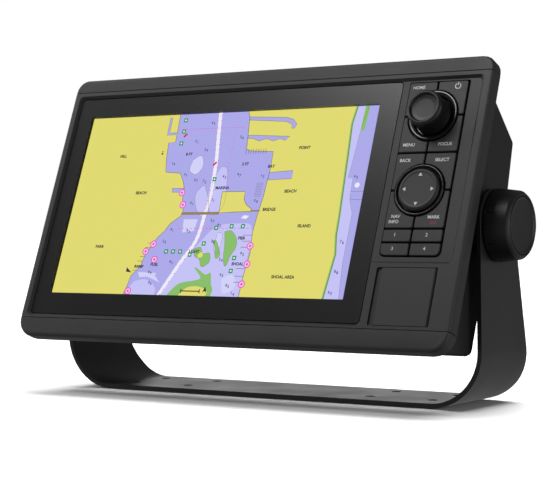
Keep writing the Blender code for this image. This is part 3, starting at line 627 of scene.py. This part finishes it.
def build_hubs():
    """The zoom knob with its glossy bowl, and the pad with its glossy ring."""
    hub = (HUB_X, 0, KNOB_Z)
    floor = face_box("knob_collar")[1].y
    bowl = [(WELL_RADIUS, floor), (WELL_RADIUS, 1.1), (15.7, 0.5), (BOWL_EDGE, BOWL_TOP)]
    for angle in range(10, 81, 10):
        turn = math.radians(angle)
        bowl.append((BOWL_EDGE - BOWL_ROUND * math.sin(turn), BOWL_TOP + BOWL_ROUND * (1 - math.cos(turn))))
    bowl += [(12.4, 3.2), (8.0, 3.5), (4.2, 3.5), (4.2, floor)]
    piece("knob_bowl", turned(bowl, hub, ring_shaped=True), MATERIALS["gloss_trim"], "head",
          replaces=["knob_collar"])

    top = face_box("zoom_knob")[0].y
    dish = [(2.0, top + 2.0), (6.0, top + 1.9), (8.3, top + 1.6), (8.8, top + 1.1), (9.1, top + 0.2), (9.4, top)]
    side = [(9.9, top), (10.5, top + 0.3), (11.2, top + 1.1), (11.5, top + 2.4), (11.1, top + 7.5)]
    side += [(11.3, top + 11.0), (12.0, 1.5), (11.6, 1.9), (3.4, 1.9), (3.4, -8.3)]
    piece("zoom_knob_body", turned(softened(dish + side, 0.9, 5), hub), MATERIALS["knob_plastic"], "zoom_knob",
          replaces=["zoom_knob"])

    middle = (HUB_X, 0, DPAD_Z)
    ring = [(WELL_RADIUS, floor), (WELL_RADIUS, 1.0)]
    for angle in range(0, 181, 20):
        turn = math.radians(angle)
        ring.append((WELL_RADIUS - RING_LIP * (1 - math.cos(turn)), 0.9 - RING_LIP * math.sin(turn)))
    ring += [(14.5, 1.6), (14.0, 1.9), (13.95, 2.2)]
    ring += [(13.95, floor)]
    piece("dpad_bezel", turned(ring, middle, ring_shaped=True), MATERIALS["gloss_trim"], "head",
          replaces=["dpad_ring"])
    front, back = (corner.y for corner in face_box("dpad_cap"))
    pad = [(3.0, front + PAD_SINK), (10.5, front + PAD_SINK), (11.5, front), (12.6, front + 0.35)]
    pad.append((13.25, front + 1.5))
    pad += [(13.3, back)]
    piece("dpad_button", turned(softened(pad, 1.2, 5), middle), MATERIALS["key_plastic"], "dpad_cap",
          replaces=["dpad_cap"])


# ---------------------------------------------------------------- marks on the keys

PALE = printed("pale_ink", (0.90, 0.90, 0.90))
RED = printed("red_ink", (0.45, 0.02, 0.03))
INK = 0.03  # thickness of a printed mark
LETTER = 2.9

# key: (mark, across, up), where the place is the middle of the mark in the face frame
KEY_MARKS = {
    "home_key": ("HOME", 110.3, 74.0),
    "menu_key": ("MENU", 110.3, 36.6),
    "focus_key": ("FOCUS", 134.3, 36.6),
    "back_key": ("BACK", 109.8, 26.6),
    "select_key": ("SELECT", 134.3, 26.6),
    "info_key": ("INFO", 109.4, -12.2),
    "mark_key": ("MARK", 135.3, -9.4),
    "key_1": ("1", 111.8, -20.4),
    "key_2": ("2", 132.8, -20.4),
    "key_3": ("3", 111.8, -28.9),
    "key_4": ("4", 132.8, -28.9),
}


def lettering(text, size, x, z, depth, thick=INK, bold=0.0):
    """Points and faces of a line of text, centred on (x, z), whose front is at `depth`."""
    curve = bpy.data.curves.new("lettering", "FONT")
    curve.body = text
    curve.size = size
    curve.align_x, curve.align_y = "CENTER", "CENTER"
    curve.extrude = thick / 2
    curve.offset = bold
    curve.resolution_u = 3
    holder = bpy.data.objects.new("lettering", curve)
    bpy.context.scene.collection.objects.link(holder)
    mesh = bpy.data.meshes.new_from_object(holder.evaluated_get(bpy.context.evaluated_depsgraph_get()))
    points = [(x + v.co.x, depth + thick / 2 - v.co.z, z + v.co.y) for v in mesh.vertices]
    faces = [tuple(polygon.vertices) for polygon in mesh.polygons]
    bpy.data.objects.remove(holder)
    bpy.data.curves.remove(curve)
    bpy.data.meshes.remove(mesh)
    return points, faces


def mark_keys():
    for name, (text, x, z) in KEY_MARKS.items():
        front = face_box(name)[0].y
        size = LETTER if len(text) > 1 else LETTER * 1.05
        piece(f"{name}_mark", lettering(text, size, x, z, front - INK, bold=0.05), PALE, name)
    front = face_box("mark_key")[0].y
    back = face_box("info_key")[0].y
    piece("info_key_upper_mark", lettering("NAV", LETTER, 110.2, -8.9, back - INK, bold=0.05), PALE, "info_key")
    piece("mark_key_alarm", lettering("SOS", 2.7, 135.5, -12.9, front - INK, bold=0.03), RED, "mark_key")
    x, z, radius = 136.3, 74.0, 1.75
    front = face_box("power_key")[0].y
    ring = prism(strip(arc((x, z), radius, 125, 415), 0.55), front - INK, front)
    bar = prism(box_corners(x - 0.28, x + 0.28, z + 0.5, z + 2.5), front - INK, front)
    piece("power_key_mark", merged([ring, bar]), PALE, "power_key")
    front = face_box("dpad_cap")[0].y + PAD_SINK
    arrows = []
    for k in range(4):
        turn = math.pi / 2 * k
        out, side = Vector((math.cos(turn), math.sin(turn))), Vector((-math.sin(turn), math.cos(turn)))
        middle = Vector((HUB_X, DPAD_Z)) + out * 9.15
        corners = [middle + out * 1.15, middle - out * 0.85 + side * 1.3, middle - out * 0.85 - side * 1.3]
        arrows.append(prism([tuple(corner) for corner in corners], front - INK, front))
    piece("dpad_arrows", merged(arrows), PALE, "dpad_cap")


# ---------------------------------------------------------------- screen

LAND = lit("chart_land", srgb(229, 222, 116))
DEEP = lit("chart_deep", srgb(176, 173, 238))
SHALLOW = lit("chart_shallow", srgb(201, 198, 250))
CHANNEL = lit("chart_channel", srgb(240, 240, 252))
GREEN = lit("chart_green", srgb(140, 194, 108))
PINK = lit("chart_pink", srgb(244, 196, 236))
PALE_SEA = lit("chart_pale_sea", srgb(214, 213, 252))
SHORE = lit("chart_shore", srgb(96, 92, 84))
BRIDGE = lit("chart_bridge", srgb(150, 132, 92))
MAGENTA = lit("chart_magenta", srgb(232, 64, 196))
BUOY_GREEN = lit("chart_buoy_green", srgb(20, 150, 84))
BUOY_RED = lit("chart_buoy_red", srgb(206, 48, 48))
DARK = lit("chart_text", srgb(52, 50, 60))
NUMBER = lit("chart_number", srgb(86, 88, 140))

# Places on the chart are millimetres right and up from a point ASIDE to the left of the picture's centre.
HALF_W, HALF_H = PICTURE_SIZE[0] / 2, PICTURE_SIZE[1] / 2
ASIDE = 0.9
WEST, EAST = ASIDE - HALF_W, ASIDE + HALF_W
LEFT_SHORE = [(-38.5, HALF_H), (-37.6, 43.2), (-43.1, 42.8), (-42, 32), (-40, 22), (-28, 21), (-24, 15), (-22, 10)]
LEFT_SHORE += [(-21.5, 3), (-19, -5), (-20, -9), (-27, -14), (-30, -19), (-35, -24), (-38, -30), (-41, -34)]
LEFT_SHORE += [(-43, -43), (-49, -50), (-50, -56), (-52, -HALF_H)]
RIGHT_SHORE = [(15.7, HALF_H), (17.5, 58), (20, 38), (20, 36.5), (23, 35.2), (41, 34.2), (41.4, 20), (41, 15)]
RIGHT_SHORE += [(40.5, 4), (39, -8), (38, -20), (39.5, -34), (38, -48), (37.5, -HALF_H)]
SEA_SHORE = [(96.6, HALF_H), (95, 51), (96.3, 31), (97.2, 15), (98.6, -9), (99, -22), (101, -34), (99.5, -48)]
SEA_SHORE += [(98, -HALF_H)]
ISLAND = [(8.5, 7.5), (26, 7.5), (26.5, 2), (29, -1.5), (33.6, -4.4), (34, -5.4), (33, -6.1), (20, -6.4), (9.4, -6.9)]
CHANNEL_LINE = [(-6.3, HALF_H), (-3.7, 44), (-1.3, 27), (-0.1, 4.4), (-1.1, -5), (-3.5, -25), (-12, -40)]
CHANNEL_LINE.append((-24, -HALF_H))


PICTURE_SHIFT = (-0.7, 0.55)  # from the panel's centre to the lit area's


def picture_centre():
    low, high = face_box("lcd_panel")
    return (low.x + high.x) / 2 + PICTURE_SHIFT[0], (low.z + high.z) / 2 + PICTURE_SHIFT[1]


LAYER, LAYER_STEP = 0.02, 0.025  # thickness of the picture's layers, and the distance between their fronts


class Picture:
    """Thin layers on the panel's front, each a little nearer than the last."""

    def __init__(self):
        self.x, self.z = picture_centre()
        self.depth = face_box("lcd_panel")[0].y - LAYER

    def at(self, x, z):
        return self.x + x - ASIDE, self.z + z

    def layer(self, name, outlines, finish):
        shapes = [prism([self.at(*point) for point in outline], self.depth - LAYER, self.depth)
                  for outline in outlines]
        self.shapes(name, shapes, finish)

    def shapes(self, name, shapes, finish):
        piece(name, merged(shapes), finish, "head")
        self.depth -= LAYER_STEP

    def words(self, name, entries, size, finish, bold=0.0):
        """Lines of text. entries is a list of (text, right, up)."""
        shapes = []
        for text, x, z in entries:
            shapes.append(lettering(text, size, *self.at(x, z), self.depth - LAYER, LAYER, bold))
        self.shapes(name, shapes, finish)


def ring_outline(x, z, radius, width):
    """A ring drawn as one outline with a hairline cut."""
    return strip(arc((x, z), radius, 0, 359.5, 28), width)


def disc_outline(x, z, radius):
    return arc((x, z), radius, 0, 345, 23)


def square(x, z, half):
    return box_corners(x - half, x + half, z - half, z + half)


def build_chart():
    chart = Picture()
    chart.layer("chart_deep", [box_corners(WEST, EAST, -HALF_H, HALF_H)], DEEP)

    bank = through([(-3, -10), (-9, -4), (-12, 6), (-7, 12), (-4, 8), (-1, 2), (-2, -6)])
    flats = through([(4, 25), (9, 22), (12, 2), (9, -6), (3, -8), (-1, 4), (0, 18)])
    south = through([(-22, -HALF_H), (-14, -44), (0, -26), (10, -16), (26, -14), (37, -17), (38, -40),
                     (37, -HALF_H)])
    cove = through([(-50, -HALF_H), (-46, -54), (-36, -52), (-28, -57), (-27, -HALF_H)])
    sea = SEA_SHORE + [(109, -HALF_H), (107, -40), (107, -8), (103.6, 1), (102.8, 15), (99.5, 15), (101.8, 46.7)]
    sea.append((104.6, HALF_H))
    chart.layer("chart_shallow", [bank, flats, south, cove, sea], SHALLOW)
    shoals = [through([(-20, 30), (-14, 33), (-11, 26), (-15, 20), (-21, 23), (-20, 30)])[:-1],
              through([(12, -20), (16, -22), (15, -34), (11, -30), (12, -20)])[:-1],
              [(-17, -11), (-6, -11), (-7, -19), (-16, -20)],
              [(-44, -47), (-29, -47.5), (-30, -49), (-25, -54), (-30, -52), (-36, -50), (-42, -50.5)],
              through([(22, -50), (30, -48), (33, -56), (25, -60), (22, -50)])[:-1]]
    chart.layer("chart_shoals", shoals, PALE_SEA)

    left = [(WEST, HALF_H), (WEST, -HALF_H)] + LEFT_SHORE[::-1]
    right = RIGHT_SHORE + SEA_SHORE[::-1]
    chart.layer("chart_land", [left, right, ISLAND], LAND)

    inlets = [
        [(17.3, 59), (46, 57.4), (51, 56), (54.5, 52.5), (53, 49.5), (51, 50), (51, 52.5), (46, 54.6), (18, 56.7)],
        [(19, 46.2), (51, 44.3), (48, 41.6), (44, 43), (39, 41.5), (34, 43.3), (28, 41.8), (24, 43.6), (19.5, 43.9)],
        [(41.3, 20), (58.7, 21), (58.7, 15.5), (41.3, 15)],
        [(-46, 61), (-45.8, 48.3), (-38.5, 48.6), (-38.5, 50), (-44.2, 50), (-44.4, 61)],
        [(-31.7, 10.4), (-22.3, 10.4), (-21.8, 7.6), (-31, 7.8)],
    ]
    chart.layer("chart_inlets", inlets, DEEP)

    green = [
        through([(17, -19.5), (22, -19), (27, -24), (28, -30), (25, -36), (24, -41), (22, -42), (20, -36), (19, -28),
                 (17, -19.5)])[:-1],
        through([(9, -26), (12, -25.5), (16, -32), (17, -36), (14, -37), (12, -30), (9, -26)])[:-1],
        through([(-4, -31), (1, -30), (4, -34), (9, -34), (10, -40), (5, -43), (2, -38), (-2, -36), (-4, -31)])[:-1],
        through([(-18, -HALF_H), (-10, -54.5), (2, -52), (6, -50), (0, -44), (2, -44), (9, -48), (13, -47), (15, -54),
                 (17, -58), (16, -HALF_H)]),
        through([(102.2, HALF_H), (101.8, 53), (102, 47), (104, 46.5), (104.8, 54), (105.2, HALF_H)]),
        strip([(x - 0.3, z) for x, z in SEA_SHORE], 1.6),
    ]
    chart.layer("chart_green", green, GREEN)
    isle = through([(-9, -HALF_H), (-3, -57), (6, -56), (13, -59), (12, -HALF_H)])
    chart.layer("chart_isle", [isle, through([(0, -35), (3, -33), (4, -36), (1, -37), (0, -35)])[:-1]], LAND)

    channel = [
        strip(through(CHANNEL_LINE), 2.7),
        disc_outline(106.7, 10.4, 1.7), [(33, -9), (31, -11), (27, -10.5), (29, -8.5)],
    ]
    chart.layer("chart_channel", channel, CHANNEL)

    shores = [strip(shore, 0.35) for shore in (LEFT_SHORE, RIGHT_SHORE, SEA_SHORE, ISLAND + ISLAND[:1])]
    for outline in inlets:
        shores.append(strip(outline + outline[:1], 0.25))
    for outline in shoals[:2] + [bank, flats, sea]:
        shores.append(strip(outline, 0.15))
    for outline in green[:3]:
        shores.append(strip(outline + outline[:1], 0.15))
    shores.append(strip([(EAST, 1), (103.6, 1), (102.8, 6.3), (EAST, 6.3)], 0.2))
    chart.layer("chart_shores", shores, SHORE)

    dots = []
    for side in (-1, 1):
        route = through([(x, max(-HALF_H + 1, min(z, HALF_H - 1))) for x, z in CHANNEL_LINE], 9)
        for i, (x, z) in enumerate(route):
            if i % 2:
                dots.append(square(x + side * 1.45, z, 0.3))
    for k in range(19):  # two dashed lines across the water, and a dotted one along it
        dots.append(box_corners(-37 + k * 2.8, -35.4 + k * 2.8, 51.8, 52.1))
        dots.append(box_corners(-20 + k * 3.1, -18.2 + k * 3.1, -17.4, -17.1))
        dots.append(box_corners(7.5 + k * 0.15, 7.8 + k * 0.15, 58 - k * 2.6, 58.8 - k * 2.6))
    chart.layer("chart_channel_edges", dots, MAGENTA)

    piers = []
    for z in (-22, -26, -30, -44, -49, -53):
        piers.append(box_corners(31.5, 38, z, z + 0.3))
    for k in range(7):
        piers.append(box_corners(-49 + k * 1.3, -45 + k * 1.3, -46 + k * 3.1, -45.7 + k * 3.1))
    for k in range(9):
        piers.append(box_corners(33.5, 38.5, 4 + k * 1.1, 4.2 + k * 1.1))
        piers.append(box_corners(20 + k * 1.9, 20.3 + k * 1.9, 33, 36.5))
    chart.layer("chart_piers", piers, SHORE)
    chart.layer("chart_bridge", [box_corners(-19.5, 9.5, -8, -6.2), box_corners(33, 40, -6.2, -5.2)], BRIDGE)

    rings = [(-23, 7.3), (-20.2, -1.1), (-36.5, -28), (-41.5, -33), (-33, -38.5), (-48.5, -60), (38.5, -29),
             (39, -41), (38, -54)]
    chart.layer("chart_mark_fills", [disc_outline(x, z, 2.2) for x, z in rings], PINK)
    marks = [ring_outline(x, z, 2.2, 0.6) for x, z in rings] + [disc_outline(x, z, 0.8) for x, z in rings]
    chart.layer("chart_marks", marks, MAGENTA)
    greens = [(-33, 58.5), (-32.5, 50.5), (-32.5, 42), (0.4, 16.2), (10, -17), (21.5, -16), (30, -16), (3, -27.5),
              (-25, -33), (-19.5, -33), (-14, -33), (-6, -35), (28.5, -37), (28, -45.5)]
    chart.layer("chart_buoys", [square(x, z, 1.45) for x, z in greens], BUOY_GREEN)
    chart.layer("chart_buoy_lights", [square(x, z, 0.6) for x, z in greens], CHANNEL)
    reds = [strip([(x, z), (x + 2.2, z + 2.4)], 1.4) for x, z in ((-31.5, 46.5), (-3, 25.7))]
    chart.layer("chart_red_marks", reds, BUOY_RED)
    flag = [(-53.5, -47), (-49, -47.5), (-53.5, -44)]
    chart.layer("chart_flags", [flag, square(-46, 35, 0.6), square(-46, 36.5, 0.4)], DARK)

    random.seed(7)
    numbers = []
    places = [(-11, 56), (-21, 43), (-12, 37), (14, 45), (-36, 28), (-24, 20), (-15, 16), (-8, 15), (7, 18),
              (18, 19), (36, 18), (-14, 0), (2, 2), (-25, -18), (-12, -19), (5, -12), (9, -26), (-29, -26),
              (-20, -40), (18, -38), (21, -48), (33, -34), (32, -60), (-35, -47), (103, -26), (103, -45),
              (101.5, -58), (104, 16), (11, -15), (35, 1), (-33, -54), (27, -55)]
    for x, z in places:
        numbers.append((str(random.randint(1, 9)), x, z))
        numbers.append((str(random.randint(1, 9)), x + 1.7, z - 0.8))
    chart.words("chart_soundings", numbers, 2.5, NUMBER, 0.08)
    names = [("BEACH", -56, 7.5), ("ISLAND", 75, -16), ("MARINA", 8, 10), ("BAY", 42, 24), ("BEACH", 60, 7),
             ("SHOAL AREA", 67, -49), ("BRIDGE", 47, -5), ("PIER", 31, -24), ("LIGHT", -3, -33), ("SHOAL", 32, -41),
             ("RAMP", -44, -43.5), ("FUEL", -32, -42), ("POINT", 64, 36), ("5 FT", 22, 26), ("PARK", -80, -30),
             ("HILL", -78, 34), ("8 FT", -24, 34)]
    chart.words("chart_names", names, 2.8, DARK, 0.1)
    scale = [box_corners(-7, 8, -59.6, -58.9), box_corners(-7, -6.3, -60.6, -57.9), box_corners(7.3, 8, -60.6, -57.9)]
    arrow = [(10, -60), (11.6, -56), (13.2, -60), (11.6, -59)]
    chart.layer("chart_scale", scale + [arrow], DARK)


GLASS_EDGE = 0.25  # chamfer of the cover glass
PANE_GAP = 0.02  # between the clear pane and the border round it


def build_glass():
    """The cover glass, black behind its border, and the clear window over the picture."""
    low, high = face_box("cover_glass")
    x, z = picture_centre()
    window = rounded(box_corners(x - HALF_W, x + HALF_W, z - HALF_H, z + HALF_H), 0.3, 2)
    wider = box_corners(x - HALF_W - MASK_SLOPE, x + HALF_W + MASK_SLOPE, z - HALF_H - MASK_SLOPE,
                        z + HALF_H + MASK_SLOPE)
    behind = rounded(wider, 0.3, 2)
    outside = rounded(box_corners(low.x, high.x, low.z, high.z), 2.2, 2)
    edge = GLASS_EDGE
    inset = rounded(box_corners(low.x + edge, high.x - edge, low.z + edge, high.z - edge), 2.0, 2)
    sections = ((inset, low.y), (outside, low.y + edge), (outside, high.y), (behind, high.y), (window, low.y))
    border = loft([[(px, y, pz) for px, pz in outline] for outline, y in sections], ring_shaped=True)
    piece("cover_glass_border", border, MATERIALS["screen_glass"], "head",
          replaces=["cover_glass"])
    wide, tall = HALF_W - PANE_GAP, HALF_H - PANE_GAP
    pane = rounded(box_corners(x - wide, x + wide, z - tall, z + tall), 0.3, 2)
    piece("cover_glass_window", prism(pane, low.y, high.y), clear_glass("clear_glass"), "head")


# ---------------------------------------------------------------- studio

FOCAL_LENGTH = 107.62
SHIFT = (-0.0125, -0.0123)
EYE = Vector((0.58225, -0.9069, 0.10824))
AZIMUTH, PITCH, ROLL = 32.82, -0.20, -0.18


def build_camera():
    data = bpy.data.cameras.new("camera")
    data.lens = FOCAL_LENGTH
    data.sensor_width = 36
    data.shift_x, data.shift_y = SHIFT
    data.clip_start, data.clip_end = 0.05, 100
    camera = bpy.data.objects.new("camera", data)
    camera.location = EYE
    turn = Matrix.Rotation(math.radians(AZIMUTH), 3, "Z") @ Matrix.Rotation(math.radians(90 + PITCH), 3, "X")
    camera.rotation_euler = (turn @ Matrix.Rotation(math.radians(ROLL), 3, "Z")).to_euler()
    bpy.context.scene.collection.objects.link(camera)
    bpy.context.scene.camera = camera


def soft_box(name, place, aim, size, power):
    data = bpy.data.lights.new(name, "AREA")
    data.shape = "RECTANGLE"
    data.size, data.size_y = size
    data.energy = power
    light = bpy.data.objects.new(name, data)
    light.location = place
    light.rotation_euler = (Vector(aim) - Vector(place)).to_track_quat("-Z", "Y").to_euler()
    bpy.context.scene.collection.objects.link(light)


def sky(name, strength, angle, direction, lit_only):
    """A broad sun that lights the floor evenly out to the horizon. Other objects only shade it."""
    data = bpy.data.lights.new(name, "SUN")
    data.energy = strength
    data.angle = math.radians(angle)
    light = bpy.data.objects.new(name, data)
    light.rotation_euler = Vector(direction).to_track_quat("-Z", "Y").to_euler()
    bpy.context.scene.collection.objects.link(light)
    receivers = bpy.data.collections.new("sky_receivers")
    receivers.objects.link(lit_only)
    light.light_linking.receiver_collection = receivers


def build_world():
    """White behind the object, and a dim room for what lights and mirrors in it."""
    world = bpy.data.worlds.new("studio")
    world.use_nodes = True
    nodes, links = world.node_tree.nodes, world.node_tree.links
    seen, room = nodes["Background"], nodes.new("ShaderNodeBackground")
    seen.inputs["Color"].default_value = (1.0, 1.0, 1.0, 1.0)
    room.inputs["Strength"].default_value = 1.0
    height = nodes.new("ShaderNodeSeparateXYZ")
    links.new(nodes.new("ShaderNodeTexCoord").outputs["Generated"], height.inputs[0])
    ramp = nodes.new("ShaderNodeValToRGB")
    for element, (position, level) in zip(ramp.color_ramp.elements, (ROOM[0], ROOM[-1])):
        element.position, element.color = position, (level, level, level, 1)
    for position, level in ROOM[1:-1]:
        ramp.color_ramp.elements.new(position).color = (level, level, level, 1)
    lift = nodes.new("ShaderNodeMath")
    lift.operation = "MULTIPLY_ADD"
    lift.inputs[1].default_value, lift.inputs[2].default_value = 0.5, 0.5
    links.new(height.outputs["Z"], lift.inputs[0])
    links.new(lift.outputs[0], ramp.inputs["Fac"])
    links.new(ramp.outputs["Color"], room.inputs["Color"])
    mix = nodes.new("ShaderNodeMixShader")
    links.new(nodes.new("ShaderNodeLightPath").outputs["Is Camera Ray"], mix.inputs[0])
    links.new(room.outputs[0], mix.inputs[1])
    links.new(seen.outputs[0], mix.inputs[2])
    links.new(mix.outputs[0], nodes["World Output"].inputs["Surface"])
    bpy.context.scene.world = world


def build_floor():
    floor = bpy.data.meshes.new("floor")
    half = 30  # metres, so that its edge lies near the horizon
    floor.from_pydata([(-half, -half, 0), (half, -half, 0), (half, half, 0), (-half, half, 0)], [], [(0, 1, 2, 3)])
    finish = Finish("floor", (0.88, 0.88, 0.88), 0.9, specular=0.1)
    finish.gloss(finish.noise(200), 0.05)
    floor.materials.append(finish.material)
    obj = bpy.data.objects.new("floor", floor)
    obj.location.z = -0.0003  # just under the base, so that the two faces don't fight
    obj.visible_diffuse = False
    obj.visible_glossy = False
    bpy.context.scene.collection.objects.link(obj)
    return obj


# Brightness of the room from straight down (0) through the horizon (0.5) to overhead (1)
ROOM = ((0.0, 0.0), (0.18, 0.34), (0.44, 0.30), (0.56, 0.12), (1.0, 0.14))


def build_studio():
    bpy.context.scene.view_settings.view_transform = "Standard"
    build_world()
    sky("sky", 4.9, 50, (0.0, -0.32, -1.0), build_floor())
    middle = (0, 0, 0.1)
    soft_box("key_light", (-0.55, -0.95, 1.65), middle, (0.9, 0.7), 12.5)
    soft_box("left_card", (-1.35, -0.3, 0.85), middle, (0.6, 1.3), 6)
    soft_box("back_card", (-0.85, 1.35, 0.2), middle, (0.9, 0.4), 1.4)
    soft_box("side_light", (1.5, 0.0, 0.35), middle, (0.35, 0.5), 3)
    soft_box("floor_glow", (0.75, -0.15, 0.03), (0.15, 0, 0.05), (0.4, 0.4), 0.6)


build_camera()
dress_nodes()
build_bracket()
build_clamps()
build_hubs()
build_glass()
build_chart()
mark_keys()
build_studio()
